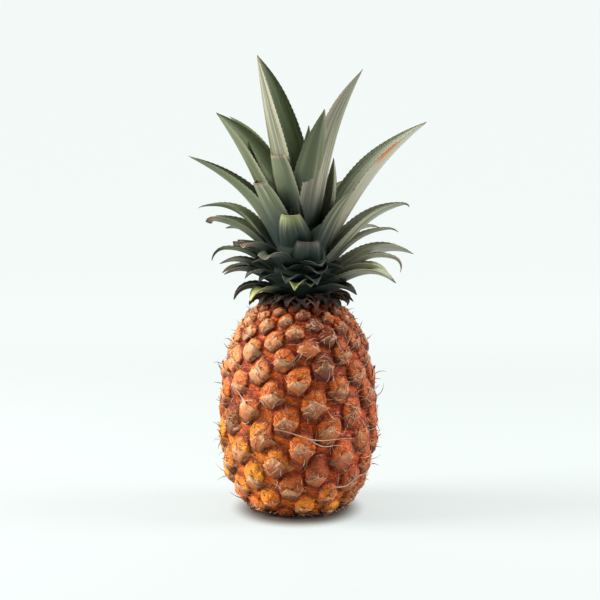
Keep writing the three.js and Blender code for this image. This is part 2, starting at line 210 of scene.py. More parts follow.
class Batch:
    """Points, faces and attributes gathered from many small shapes."""

    def __init__(self, *labels):
        self.points = []
        self.faces = []
        self.values = {label: [] for label in labels}
        self.count = 0

    def add(self, points, faces, **values):
        points = np.asarray(points, float).reshape(-1, 3)
        self.points.append(points)
        self.faces.extend(tuple(self.count + index for index in face) for face in faces)
        for label, store in self.values.items():
            value = values.get(label, 0)
            store.append(np.broadcast_to(np.asarray(value, float), (len(points),)))
        self.count += len(points)

    def piece(self, name, material, node):
        """A mesh object in metres that stands for a node of the solid model."""
        mesh = bpy.data.meshes.new(name)
        mesh.from_pydata((np.concatenate(self.points) * MM).tolist(), [], self.faces)
        for label, store in self.values.items():
            layer = mesh.attributes.new(label, "FLOAT", "POINT")
            layer.data.foreach_set("value", np.concatenate(store).astype(np.float32))
        mesh.polygons.foreach_set("use_smooth", [True] * len(mesh.polygons))
        mesh.materials.append(material)
        mesh.update()
        piece = new_object(name, mesh)
        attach(piece, "root")
        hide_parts(node)
        return piece


# Shader nodes

class Shader:
    """A node material with short ways to add the nodes that it is made of."""

    def __init__(self, name, roughness=0.6, **settings):
        self.material = bpy.data.materials.new(name)
        self.material.use_nodes = True
        self.tree = self.material.node_tree
        self.surface = self.tree.nodes["Principled BSDF"]
        self.surface.inputs["Roughness"].default_value = roughness
        for socket, value in settings.items():
            self.surface.inputs[socket.replace("_", " ")].default_value = value

    def put(self, socket, value):
        """Links an output to an input, or sets the input to a value or a screen colour."""
        if isinstance(value, bpy.types.NodeSocket):
            self.tree.links.new(value, socket)
        elif isinstance(value, tuple) and len(value) == 3:
            socket.default_value = colour(*value)
        else:
            socket.default_value = value

    def finish(self, socket, value):
        self.put(self.surface.inputs[socket], value)

    def attributes(self, *labels):
        """The values that the mesh holds under these names."""
        values = []
        for label in labels:
            made = self.tree.nodes.new("ShaderNodeAttribute")
            made.attribute_name = label
            values.append(made.outputs["Fac"])
        return values

    def place(self):
        """The point's own place on the object, in metres."""
        return self.tree.nodes.new("ShaderNodeTexCoord").outputs["Object"]

    def maths(self, operation, first, second=0.0, third=0.0):
        made = self.tree.nodes.new("ShaderNodeMath")
        made.operation = operation
        for socket, value in zip(made.inputs, (first, second, third)):
            self.put(socket, value)
        return made.outputs[0]

    def times(self, first, second):
        return self.maths("MULTIPLY", first, second)

    def plus(self, first, second):
        return self.maths("ADD", first, second)

    def minus(self, first, second):
        return self.maths("SUBTRACT", first, second)

    def size(self, value):
        return self.maths("ABSOLUTE", value)

    def distance(self, x, y):
        return self.maths("SQRT", self.plus(self.maths("POWER", x, 2.0), self.maths("POWER", y, 2.0)))

    def span(self, value, low, high, start=0.0, end=1.0):
        """Spreads the range from low to high over start to end, and clamps it."""
        made = self.tree.nodes.new("ShaderNodeMapRange")
        made.interpolation_type = "SMOOTHSTEP"
        for socket, amount in zip(made.inputs, (value, low, high, start, end)):
            self.put(socket, amount)
        return made.outputs[0]

    def vector(self, x, y, z):
        made = self.tree.nodes.new("ShaderNodeCombineXYZ")
        for socket, value in zip(made.inputs, (x, y, z)):
            self.put(socket, value)
        return made.outputs[0]

    def axes(self, vector):
        made = self.tree.nodes.new("ShaderNodeSeparateXYZ")
        self.put(made.inputs[0], vector)
        return made.outputs

    def noise(self, vector, scale, detail=4.0, roughness=0.6):
        made = self.tree.nodes.new("ShaderNodeTexNoise")
        self.put(made.inputs["Vector"], vector)
        made.inputs["Scale"].default_value = scale
        made.inputs["Detail"].default_value = detail
        made.inputs["Roughness"].default_value = roughness
        return made.outputs["Fac"]

    def mix(self, share, first, second, blend="MIX"):
        made = self.tree.nodes.new("ShaderNodeMix")
        made.data_type = "RGBA"
        made.blend_type = blend
        self.put(made.inputs["Factor"], share)
        self.put(made.inputs[6], first)
        self.put(made.inputs[7], second)
        return made.outputs[2]

    def ramp(self, value, low, high, first, second):
        """Goes from the first colour to the second as a value goes from low to high."""
        return self.mix(self.span(value, low, high), first, second)

    def stain(self, body, share, most, red, green, blue):
        """Lays a colour over the body's colour, as a share of what it is at most."""
        return self.mix(self.times(share, most), body, (red, green, blue))

    def streaks(self, across, along, tint, scales):
        """A place where noise runs along a leaf, and differs from one leaf to the next."""
        scaled = (self.times(way, scale) for way, scale in zip((across, along, tint), scales))
        return self.vector(*scaled)

    def bump(self, height, strength, distance, below=None):
        made = self.tree.nodes.new("ShaderNodeBump")
        self.put(made.inputs["Height"], height)
        made.inputs["Strength"].default_value = strength
        made.inputs["Distance"].default_value = distance
        if below is not None:
            self.put(made.inputs["Normal"], below)
        return made.outputs[0]


# The fruit's outer envelope, through the tops of its eyes

def envelope_radius(height):
    above = height > WIDEST_HEIGHT
    reach = np.where(above, UPPER_REACH, LOWER_REACH)
    squareness = np.where(above, UPPER_SQUARENESS, LOWER_SQUARENESS)
    part = np.abs(height - WIDEST_HEIGHT) / reach
    return FRUIT_RADIUS * np.maximum(0, 1 - part ** squareness) ** (1 / squareness)


def envelope_line():
    """Radius, height and climb along the envelope, where climb is length over radius."""
    angle = np.pi * np.arange(1, 600) / 600
    reach = np.where(angle > np.pi / 2, UPPER_REACH, LOWER_REACH)
    height = WIDEST_HEIGHT - reach * np.cos(angle)
    radius = envelope_radius(height)
    length = np.hypot(np.diff(radius), np.diff(height))
    steps = 2 * length / (radius[1:] + radius[:-1])
    climb = np.concatenate([[0], np.cumsum(steps)])
    return radius, height, climb - climb[299]


LINE_RADIUS, LINE_HEIGHT, LINE_CLIMB = envelope_line()


def fruit_point(turn, climb, depth):
    """Points at turns and climbs, sunk below the envelope by depths in millimetres."""
    radius = np.interp(climb, LINE_CLIMB, LINE_RADIUS)
    height = np.interp(climb, LINE_CLIMB, LINE_HEIGHT)
    step = 0.004
    slope_radius, slope_height = (
        np.interp(climb + step, LINE_CLIMB, line) - np.interp(climb - step, LINE_CLIMB, line)
        for line in (LINE_RADIUS, LINE_HEIGHT)
    )
    length = np.maximum(np.hypot(slope_radius, slope_height), 1e-6)
    radius = radius - depth * slope_height / length
    height = height + depth * slope_radius / length
    return np.stack([radius * np.cos(turn), radius * np.sin(turn), height], -1)


def size_scale(climb):
    """Eyes are smaller and shallower where the fruit is narrower."""
    return (np.interp(climb, LINE_CLIMB, LINE_RADIUS) / FRUIT_RADIUS) ** SHRINK_POWER


def lumps(points, size, seed):
    """Smooth random values from -1 to 1 at points, in lumps of a size in millimetres."""
    spot = np.asarray(points, float) / size
    cell = np.floor(spot).astype(np.int64)
    part = spot - cell
    part = part * part * (3 - 2 * part)
    total = 0.0
    for corner in np.ndindex(2, 2, 2):
        key = ((cell + corner) @ np.array([73856093, 19349663, 83492791]) + 7919 * seed) & 0x7FFFFFFF
        key = ((key ^ (key >> 13)) * 1274126177) & 0xFFFFFFFF
        value = ((key ^ (key >> 15)) & 0xFFFF) / 0x7FFF - 1
        total = total + value * np.prod(np.where(corner, part, 1 - part), axis=-1)
    return total


def fall(value, start, end):
    """A smooth step from 0 at the start to 1 at the end."""
    share = np.clip((value - start) / (end - start), 0, 1)
    return share * share * (3 - 2 * share)


# The eyes' lattice

def eye_place(number):
    turn = FIRST_EYE_TURN + EYE_TURN * number
    climb = FIRST_EYE_RISE + EYE_RISE * number - EYE_CROWDING * number ** 2
    return np.array([turn, climb])


def cell_corner(number, places):
    """The corner between an eye, the one a number of places on, and the one 21 on."""
    eyes = np.array([eye_place(number), eye_place(number + places), eye_place(number + 21)])
    away = eyes[:, 0] - eyes[0, 0]
    away = away - FULL_TURN * np.round(away / FULL_TURN)
    return np.array([eyes[0, 0] + away.mean(), eyes[:, 1].mean()])


class Eye:
    """One eye: its top, its cell's six corners about the top, and its own random draws."""

    def __init__(self, number):
        draw = random.Random(number + 500)
        centre = eye_place(number)
        pairs = ((0, 8), (0, 13), (-8, 8), (-21, 13), (-21, 8), (-13, 13))
        corners = np.array([cell_corner(number + start, places) for start, places in pairs])
        corners[:, 0] -= centre[0]
        corners[:, 0] -= FULL_TURN * np.round(corners[:, 0] / FULL_TURN)
        corners[:, 1] -= centre[1]
        drop = TOP_DROP * (corners[1, 1] - corners[4, 1])
        self.top = centre - (0, drop)
        self.corners = corners + (0, drop)
        self.scale = float(size_scale(centre[1]))
        self.height = float(np.interp(centre[1], LINE_CLIMB, LINE_HEIGHT))
        self.half = float(np.linalg.norm(corners, axis=1).mean())
        self.wide = draw.uniform(0.84, 1.02)
        self.high = draw.uniform(0.82, 1.04)
        self.rise = draw.uniform(0.72, 1.12)
        self.shift = (draw.uniform(-0.05, 0.05), draw.uniform(-0.05, 0.05))
        self.crease = draw.uniform(0.5, 0.95)
        self.tint = draw.random()
        self.shade = draw.random()
        self.number = number
        self.draw = draw
        across, depth, height = fruit_point(*self.top, 0)
        near = min(math.hypot(across - x, height - z) for x, z in BRUISES)
        self.bruise = float(depth < 0 and near < BRUISE_REACH)

    def border(self, angle):
        """How far the cell's edge is from the top, in each direction."""
        way = np.stack([np.cos(angle), np.sin(angle)], -1)
        best = np.full(np.shape(angle), 1e9)
        for start, end in zip(self.corners, np.roll(self.corners, -1, axis=0)):
            edge = end - start
            across = way[..., 0] * edge[1] - way[..., 1] * edge[0]
            across = np.where(np.abs(across) < 1e-9, 1e-9, across)
            distance = (start[0] * edge[1] - start[1] * edge[0]) / across
            best = np.where((distance > 0) & (distance < best), distance, best)
        return best

    def knob(self, offset):
        """How far the skin stands out at an offset: 0 in the valleys, and 1 on a full knob."""
        x = offset[..., 0] / self.half - self.shift[0]
        y = offset[..., 1] / self.half - self.shift[1]
        away = np.hypot(x / self.wide, y / self.high)
        spot = np.stack([x, y, np.full(np.shape(x), 7.3 * self.number)], -1)
        away = away * (1 + OUTLINE_WARP * lumps(spot, WARP_SIZE, 4))
        edge = np.hypot(offset[..., 0], offset[..., 1])
        edge = edge / self.border(np.arctan2(offset[..., 1], offset[..., 0]))
        lower = fall(-y, -0.10, 0.35)
        dome = (1 - np.minimum(away, 1) ** (DOME_POWER + LOWER_EDGE_POWER * lower)) ** DOME_ROUNDING
        dome = dome * (1 - fall(edge, DOME_END, 1.0))
        for side in (-1, 1):
            line = np.abs(y - 0.05 - side * self.crease * x) + np.where(side * x < 0, 9, 0)
            dome = dome - FOLD_DEPTH * np.exp(-(line / FOLD_WIDTH) ** 2) * fall(away, 1.0, 0.5)
        return dome

    def point(self, offset, lift=0.0):
        """A point on the eye's skin at an offset from the top, raised by a lift."""
        offset = np.asarray(offset, float)
        turn, climb = self.top[0] + offset[..., 0], self.top[1] + offset[..., 1]
        knob = self.knob(offset)
        level = fruit_point(turn, climb, 0)
        wrinkle = sum(
            height * lumps(level * (1, 1, squash), size, seed)
            for height, size, squash, seed in SMALL_WRINKLES
        )
        wrinkle = wrinkle * (1 - KNOB_SMOOTHNESS * np.clip(knob, 0, 1))
        height, size, seed = BROAD_WRINKLES
        wrinkle = wrinkle + height * lumps(level, size, seed)
        depth = CREASE_DEPTH * (1 - self.rise * knob) + wrinkle
        return fruit_point(turn, climb, (depth + SKIN_SINK) * size_scale(climb) - lift)


EYES = [Eye(number) for number in range(LOWEST_EYE, HIGHEST_EYE + 1)]


def rind_batch():
    """The skin of the whole fruit, eye by eye in rings around each top."""
    batch = Batch("knob", "upness", "tint", "bruise")
    for eye in EYES:
        angle = FULL_TURN * np.arange(CELL_SIDES) / CELL_SIDES
        corner_angles = np.arctan2(eye.corners[:, 1], eye.corners[:, 0])
        for corner_angle in corner_angles:
            nearest = np.argmin(np.abs(np.angle(np.exp(1j * (angle - corner_angle)))))
            angle[nearest] = corner_angle
        border = eye.border(angle)
        shares = (np.arange(1, CELL_RINGS + 1) / CELL_RINGS)[:, None]
        rings = np.stack([shares * border * np.cos(angle), shares * border * np.sin(angle)], -1)
        # The middle point is a hair off the top, so that it has a direction
        offset = np.vstack([[[0.0, 1e-6]], rings.reshape(-1, 2)])
        points = eye.point(offset)
        points[:, 2] = np.clip(points[:, 2], 0, FRUIT_HEIGHT)
        faces = [(0, 1 + side, 1 + (side + 1) % CELL_SIDES) for side in range(CELL_SIDES)]
        faces += grid_faces(CELL_RINGS, CELL_SIDES, 1, closed=True)
        batch.add(
            points,
            faces,
            knob=eye.knob(offset),
            upness=offset[:, 1] / eye.half,
            tint=eye.tint,
            bruise=eye.bruise,
        )
    return batch


def bract_batch():
    """The dry scale under each eye: a wide foot that clasps the knob, and a pointed beak."""
    batch = Batch("along", "across", "tint", "shade", "bruise")
    along = np.linspace(0, 1, BRACT_ROWS)[:, None]
    across = np.linspace(-1, 1, BRACT_COLUMNS)[None, :]
    margin = np.abs(across)
    for eye in EYES:
        if not 4 < eye.height < FRUIT_HEIGHT - 1:
            continue
        draw = eye.draw
        tip = draw.choice((0.0, 0.15, 0.25, 0.35, 0.45)) + draw.uniform(-0.05, 0.05)
        lean = draw.uniform(-0.28, 0.28)
        wide = draw.uniform(0.84, 1.16)
        beak = draw.uniform(0.06, 0.20)
        widths = (0.30, 0.60, 0.74, 0.64, 0.38, beak + 0.06, beak, 0.03)
        half = np.interp(along, BRACT_SHARES, widths) * wide
        spread = np.dstack([7 * along + 0 * across, 5 * across + 0 * along, 0 * (along + across)])
        torn = lumps(spread, 0.9, eye.number)
        clasp = draw.uniform(0.20, 0.42) * margin ** 2.2 * (1 - along) ** 0.6
        x = eye.half * (half * across * (1 + 0.30 * torn * margin) + lean * along ** 1.5)
        y = BRACT_FOOT + (tip - BRACT_FOOT) * along ** 0.9
        y = eye.half * (y + clasp + 0.08 * torn * margin)
        lift = BRACT_LIFT + 0.4 * torn * margin + draw.uniform(0.3, 2.2) * along ** 4
        lift = lift + 0.4 * margin ** 3 * fall(along, 0.1, 0.4)
        lift = np.maximum(lift, LEAST_LIFT) * eye.scale
        offset = np.stack([x, y], -1)
        front = eye.point(offset, lift)
        back = eye.point(offset, lift - BRACT_THICKNESS * eye.scale)
        points, faces = closed_sheet(front, back, BRACT_ROWS, BRACT_COLUMNS)
        points[:, 2] = np.maximum(points[:, 2], 0)
        batch.add(
            points,
            faces,
            along=np.tile(np.repeat(along, BRACT_COLUMNS), 2),
            across=np.tile(across[0], 2 * BRACT_ROWS),
            tint=eye.tint,
            shade=eye.shade,
            bruise=eye.bruise,
        )
    return batch


def tube(points, radii):
    """A thin closed tube through points, with a radius at each."""
    points = np.asarray(points, float)
    way = np.gradient(points, axis=0)
    way /= np.linalg.norm(way, axis=1)[:, None]
    # A direction that no thread follows, to turn the rings by
    guide = np.array([0.31, 0.52, 0.79])
    side = np.cross(way, guide)
    side /= np.linalg.norm(side, axis=1)[:, None]
    other = np.cross(way, side)
    angle = FULL_TURN * np.arange(THREAD_SIDES) / THREAD_SIDES
    ring = np.cos(angle)[:, None] * side[:, None] + np.sin(angle)[:, None] * other[:, None]
    skin = points[:, None] + ring * np.asarray(radii)[:, None, None]
    faces = grid_faces(len(points), THREAD_SIDES, closed=True)
    faces.append(tuple(reversed(range(THREAD_SIDES))))
    faces.append(tuple((len(points) - 1) * THREAD_SIDES + index for index in range(THREAD_SIDES)))
    return skin.reshape(-1, 3), faces


def add_thread(batch, path, thick, tint):
    """A thread that thins out along its path and stays above the floor."""
    share = np.linspace(0, 1, len(path))
    points, faces = tube(path, thick * (1 - 0.8 * share))
    points[:, 2] = np.maximum(points[:, 2], 0)
    batch.add(points, faces, along=np.repeat(share, THREAD_SIDES), tint=tint)


# Long dry wisps at the two sides: turn, height, length and climb
LONG_WISPS = [
    (182, 101, 9, 60), (176, 88, 6, 20), (181, 56, 8, 75), (184, 48, 6, -50),
    (180, 22, 10, 10), (186, 7, 11, 15), (172, 112, 6, 50), (2, 118, 8, 55),
    (357, 95, 10, 50), (3, 79, 12, 25), (358, 60, 6, -40), (1, 49, 8, 70),
    (356, 32, 6, 10), (350, 128, 7, 60),
]

# Pale threads that lie across the front: how far across and how high each end is
LYING_THREADS = [
    ((-16, 67), (38, 58)),
    ((2, 62), (30, 54)),
    ((20, 24), (44, 30)),
    ((-44, 92), (-30, 84)),
]


def add_flat_threads(batch, eye, share):
    """Threads that lie on an eye, more of them on the fruit's right."""
    draw = eye.draw
    rightness = max(0.0, math.cos(eye.top[0] + 0.5))
    for _ in range(draw.choice((4, 5, 6)) + round(7 * rightness)):
        start = eye.half * np.array([draw.uniform(-0.6, 0.6), draw.uniform(-0.6, 0.5)])
        heading = draw.uniform(0, FULL_TURN)
        length = eye.half * draw.uniform(0.3, 1.0)
        bend = draw.uniform(-1.6, 1.6)
        angle = heading + bend * share
        steps = np.stack([np.cos(angle), np.sin(angle)], -1) * length / len(share)
        path = eye.point(start + np.cumsum(steps, axis=0), (0.35 + 0.9 * share) * eye.scale)
        add_thread(batch, path, draw.uniform(0.24, 0.42), draw.uniform(0.4, 1.0))


def add_standing_threads(batch, eye, share):
    """Threads that stand off an eye, paler at the front."""
    draw = eye.draw
    for _ in range(draw.choice((1, 2, 2, 3))):
        start = eye.half * np.array([draw.uniform(-0.35, 0.35), draw.uniform(-0.4, 0.35)])
        root = eye.point(start, 0.1)
        outward = np.array([root[0], root[1], 0.0])
        outward /= np.linalg.norm(outward)
        sideways = np.array([-outward[1], outward[0], 0.0])
        length = draw.choice((3, 4, 5, 6, 9)) * draw.uniform(0.7, 1.2) * eye.scale
        heading = outward * draw.uniform(0.25, 0.9) + sideways * draw.uniform(-0.9, 0.9)
        heading = heading + np.array([0, 0, draw.uniform(-0.3, 1.0)])
        heading /= np.linalg.norm(heading)
        curl = sideways * draw.uniform(-1, 1) + np.array([0, 0, draw.uniform(-1, 1)])
        path = root + heading * (share * length)[:, None]
        path = path + curl * (share ** 2 * length * 0.5)[:, None]
        path[:, 1] = np.clip(path[:, 1], THREAD_FRONT, THREAD_BACK)
        paleness = draw.uniform(0, 0.6) + 0.45 * max(0.0, -math.sin(eye.top[0]))
        add_thread(batch, path, 0.30, paleness)


def add_side_wisp(batch, wisp, share, draw):
    turn, height, length, climb = wisp
    turn, climb = math.radians(turn), math.radians(climb)
    outward = np.array([math.cos(turn), math.sin(turn), 0])
    root = outward * (float(envelope_radius(np.array(height))) - 1.5) + (0, 0, height)
    angle = climb + draw.uniform(-1.4, 1.4) * share
    steps = np.cos(angle)[:, None] * outward + np.sin(angle)[:, None] * np.array([0, 0, 1])
    path = root + np.cumsum(steps * length / len(share), axis=0)
    add_thread(batch, path, 0.36, draw.uniform(0, 0.3))


def add_lying_thread(batch, start, end):
    """A pale thread that sags and wavers a little, just over the front of the fruit."""
    x, z = np.linspace(start, end, 14).T
    z = z - 2.0 * np.sin(np.pi * np.linspace(0, 1, 14)) + 0.8 * np.sin(np.linspace(0, 9, 14))
    radius = envelope_radius(z) + 0.6
    path = np.stack([x, -np.sqrt(radius ** 2 - x ** 2), z], -1)
    add_thread(batch, path, 0.5, 1.0)


def add_foot_fringe(batch, share, draw):
    """Threads that run under the fruit all round its foot."""
    for index in range(FRINGE_THREADS):
        turn = FULL_TURN * index / FRINGE_THREADS + draw.uniform(-0.05, 0.05)
        height = draw.uniform(2, 6)
        turns = turn + draw.uniform(-0.4, 0.4) * share
        radius = float(envelope_radius(np.array(height))) - 1 - draw.uniform(2, 6) * share ** 2
        heights = height * (1 - share) + 0.7
        path = np.stack([radius * np.cos(turns), radius * np.sin(turns), heights], -1)
        add_thread(batch, path, draw.uniform(0.4, 1.0), draw.uniform(0.1, 0.55))


def wisp_batch():
    """All dry threads: on the eyes, at the sides, across the front and round the foot."""
    batch = Batch("along", "tint")
    share = np.linspace(0, 1, THREAD_POINTS)
    for eye in EYES:
        if 5 < eye.height < FRUIT_HEIGHT - 2:
            add_flat_threads(batch, eye, share)
            add_standing_threads(batch, eye, share)
    draw = random.Random(31)
    for wisp in LONG_WISPS:
        add_side_wisp(batch, wisp, share, draw)
    for start, end in LYING_THREADS:
        add_lying_thread(batch, start, end)
    add_foot_fringe(batch, share, draw)
    return batch


# Leaves

# What a leaf has unless its own line says otherwise: how far its halves are bent, in degrees, at
# the middle and at the root, how fast it tapers, where it is cut off, how its end curls, how its
# keel bows, and its looks
PLAIN_LEAF = dict(
    fold=45, sheath=75, taper=2.2, cut=1, curl=0, curl_turn=90, bow_root=0.4, bow_tip=0.4,
    dry=0.03, pale=0.5, yellow=0, scar=0, tint=None,
)


def leaf(turn, root, reach, tip, rise, lean, width, **more):
    """One leaf: the plane it stands in, the keel's two ends and slopes, and its width."""
    words = dict(turn=turn, root=root, reach=reach, tip=tip, rise=rise, lean=lean, width=width)
    return {**PLAIN_LEAF, **words, **more}


INNER_LEAVES = [
    leaf(157, 22, 34, 171, 77, 80, 55, fold=98, taper=3.4, tint=0.74),
    leaf(335, 20, 45, 161, 77, 60, 36, fold=66, taper=2.6, pale=0.6),
    leaf(300, 20, 30, 134, 84, 74, 32, fold=60, taper=2.8, pale=0.25),
    # Painted light: this small leaf behind stands in shade and is made fully pale.
    leaf(76, 26, 19, 122, 82, 86, 22, pale=1),
    leaf(20, 18, 23, 100, 66, 100, 26, fold=60, taper=3, pale=0.6),
    leaf(24, 14, 97, 124, 56, 34, 39, fold=80, taper=2.8, pale=0.75, scar=1),
    leaf(345, 13, 38, 80, 58, 56, 30, fold=65, taper=3, pale=0.4),
    leaf(152, 20, 69, 131, 62, 48, 50, fold=86, taper=3, pale=0),
    leaf(133, 22, 77, 128, 66, 30, 26, taper=2.4, pale=0.1),
    leaf(205, 18, 23, 103, 76, 80, 35, fold=62, taper=5, cut=0.88, pale=0.15),
    leaf(200, 16, 35, 83, 68, 66, 36, fold=58, taper=5, cut=0.88, pale=0.2),
    leaf(168, 12, 82, 101, 60, 26, 36, fold=80, taper=1.7, bow_tip=0.5, pale=0.3),
]

MIDDLE_LEAVES = [
    leaf(160, 11, 75, 65, 50, -8, 22, taper=2.4, curl=4, curl_turn=30, bow_root=0.5),
    leaf(160, 10, 66, 55, 46, 6, 28, fold=60, taper=2.6, cut=0.88, curl=4, curl_turn=80, dry=0.12,
         pale=0.1),
    leaf(250, 12, 27, 62, 78, 78, 30, fold=48, taper=3, cut=0.84, yellow=0.35, pale=0.2),
    leaf(308, 15, 23, 57, 76, 66, 27, pale=0.1),
    leaf(279, 9, 28, 44, 68, 80, 25, fold=38, taper=3, cut=0.74, dry=0.12, pale=0.3),
    leaf(12, 10, 73, 67, 42, 14, 32, fold=62, taper=2.4, curl=5, curl_turn=80, dry=0.06, pale=0.8),
    leaf(10, 9, 62, 50, 42, 4, 18, curl=7, curl_turn=50, dry=0.08, pale=0.7),
    leaf(10, 6, 80, 32, 24, -20, 30, fold=68, taper=2.8, pale=0.9),
    leaf(352, 5, 64, 31, 20, -15, 20, taper=1.6, curl=12, curl_turn=100, dry=0.15, pale=0.8),
]

OUTER_LEAVES = [
    leaf(165, 7, 49, 38, 32, 0, 24, cut=0.75, dry=0.1, pale=0.1),
    leaf(182, 7, 54, 37, 30, -2, 15, curl=13, curl_turn=80, dry=0.2, pale=0.3),
    leaf(208, 7, 46, 40, 32, -15, 24, cut=0.85, dry=0.15, pale=0.2),
    leaf(232, 7, 42, 33, 33, -20, 23, cut=0.8, pale=0.6),
    leaf(176, 5, 58, 26, 28, -22, 22, dry=0.08),
    leaf(190, 4, 55, 20, 22, -26, 22, dry=0.2),
    leaf(203, 4, 43, 18, 20, -50, 24, dry=0.12, pale=0.8),
    leaf(188, 3, 48, 2, 12, -65, 24, dry=0.25, pale=0.6),
    leaf(212, 3, 42, 3, 11, -65, 24, yellow=0.9),
    leaf(262, 4, 38, 12, 20, -50, 22, yellow=0.8, pale=0.2),
    leaf(280, 4, 34, 14, 20, -30, 24, yellow=0.3, pale=0.1),
    leaf(292, 6, 32, 23, 35, -15, 24, cut=0.8, dry=0.12, pale=0.2),
    leaf(340, 5, 64, 20, 20, -42, 24, yellow=0.6, pale=0.9),
    leaf(330, 4, 73, 17, 14, -35, 24, dry=0.05, pale=0.9),
    leaf(315, 3, 52, 9, 11, -30, 20, dry=0.2, pale=0.3),
]

# Rows of leaves: how many, first and last turn, root, reach, tip, rise, lean and width
BACK_ROWS = [
    (6, 25, 158, 5, 57, 17, 20, -35, 22),
    (6, 34, 146, 9, 62, 46, 42, -10, 26),
    (5, 55, 130, 14, 50, 76, 62, 30, 30),
    (3, 70, 112, 20, 27, 100, 74, 70, 28),
]

FRONT_ROWS = [
    (4, 222, 318, 5, 39, 16, 26, -35, 22),
    (4, 208, 326, 9, 36, 27, 45, -12, 26),
]


class Draws:
    """The same draws as the solid model's, from the same seed."""

    def __init__(self, seed):
        self.state = seed

    def __call__(self, low, high):
        self.state = (self.state * 1664525 + 1013904223) % 4294967296
        return low + (high - low) * self.state / 4294967296


def row_of_leaves(row, draw):
    count, start, end, root, reach, tip, rise, lean, width = row
    leaves = []
    for index in range(count):
        share = index / (count - 1)
        turn = start + (end - start) * share + draw(-4, 4)
        size = draw(0.9, 1.1)
        slope = rise + draw(-3, 3)
        leaves.append(leaf(turn, root, reach * size, tip * size, slope, lean, width * size, dry=0.08))
    return leaves


def keel_line(blade, root_radius, steps):
    """Evenly spaced points along the keel in its plane: out from the axis, and up."""
    start = np.array([root_radius, blade["root"]], float)
    end = np.array([blade["reach"], blade["tip"]], float)
    length = np.linalg.norm(end - start)
    rise, lean = math.radians(blade["rise"]), math.radians(blade["lean"])
    near = start + blade["bow_root"] * length * np.array([math.cos(rise), math.sin(rise)])
    far = end - blade["bow_tip"] * length * np.array([math.cos(lean), math.sin(lean)])
    t = np.linspace(0, 1, 61)[:, None]
    line = (1 - t) ** 3 * start + 3 * (1 - t) ** 2 * t * near
    line = line + 3 * (1 - t) * t ** 2 * far + t ** 3 * end
    if blade["curl"]:
        part = (np.arange(CURL_STEPS) + 0.5) / CURL_STEPS
        angle = lean - math.radians(blade["curl_turn"]) * part
        way = np.stack([np.cos(angle), np.sin(angle)], -1)
        line = np.vstack([line, end + np.cumsum(way * blade["curl"] / CURL_STEPS, axis=0)])
    lengths = np.concatenate([[0], np.cumsum(np.linalg.norm(np.diff(line, axis=0), axis=1))])
    wanted = np.linspace(0, lengths[-1], steps)
    out = np.interp(wanted, lengths, line[:, 0])
    up = np.interp(wanted, lengths, line[:, 1])
    return np.stack([out, up], -1), lengths[-1]


def half_widths(blade, share):
    """Half a leaf's flat width along its length: a little less at the root, tapered to the tip."""
    whole = share * blade["cut"]
    base = np.sin(np.minimum(whole / FULL_WIDTH_AT, 1) * np.pi / 2)
    base = ROOT_WIDTH_SHARE + (1 - ROOT_WIDTH_SHARE) * base
    beyond = np.clip((whole - NARROWS_FROM) / (1 - NARROWS_FROM), 0, 1)
    half = blade["width"] / 2 * base * (1 - beyond ** blade["taper"])
    return np.maximum(half, NARROWEST_HALF)


def folds(blade, share):
    """How far each half of a leaf is bent along its length, in radians."""
    near_root = blade["sheath"] + (blade["fold"] - blade["sheath"]) * share / SHEATH_END
    beyond = np.clip((share - SHEATH_END) / (1 - SHEATH_END), 0, 1)
    further = blade["fold"] + (TIP_FOLD - blade["fold"]) * beyond ** 2
    return np.radians(np.where(share < SHEATH_END, near_root, further))


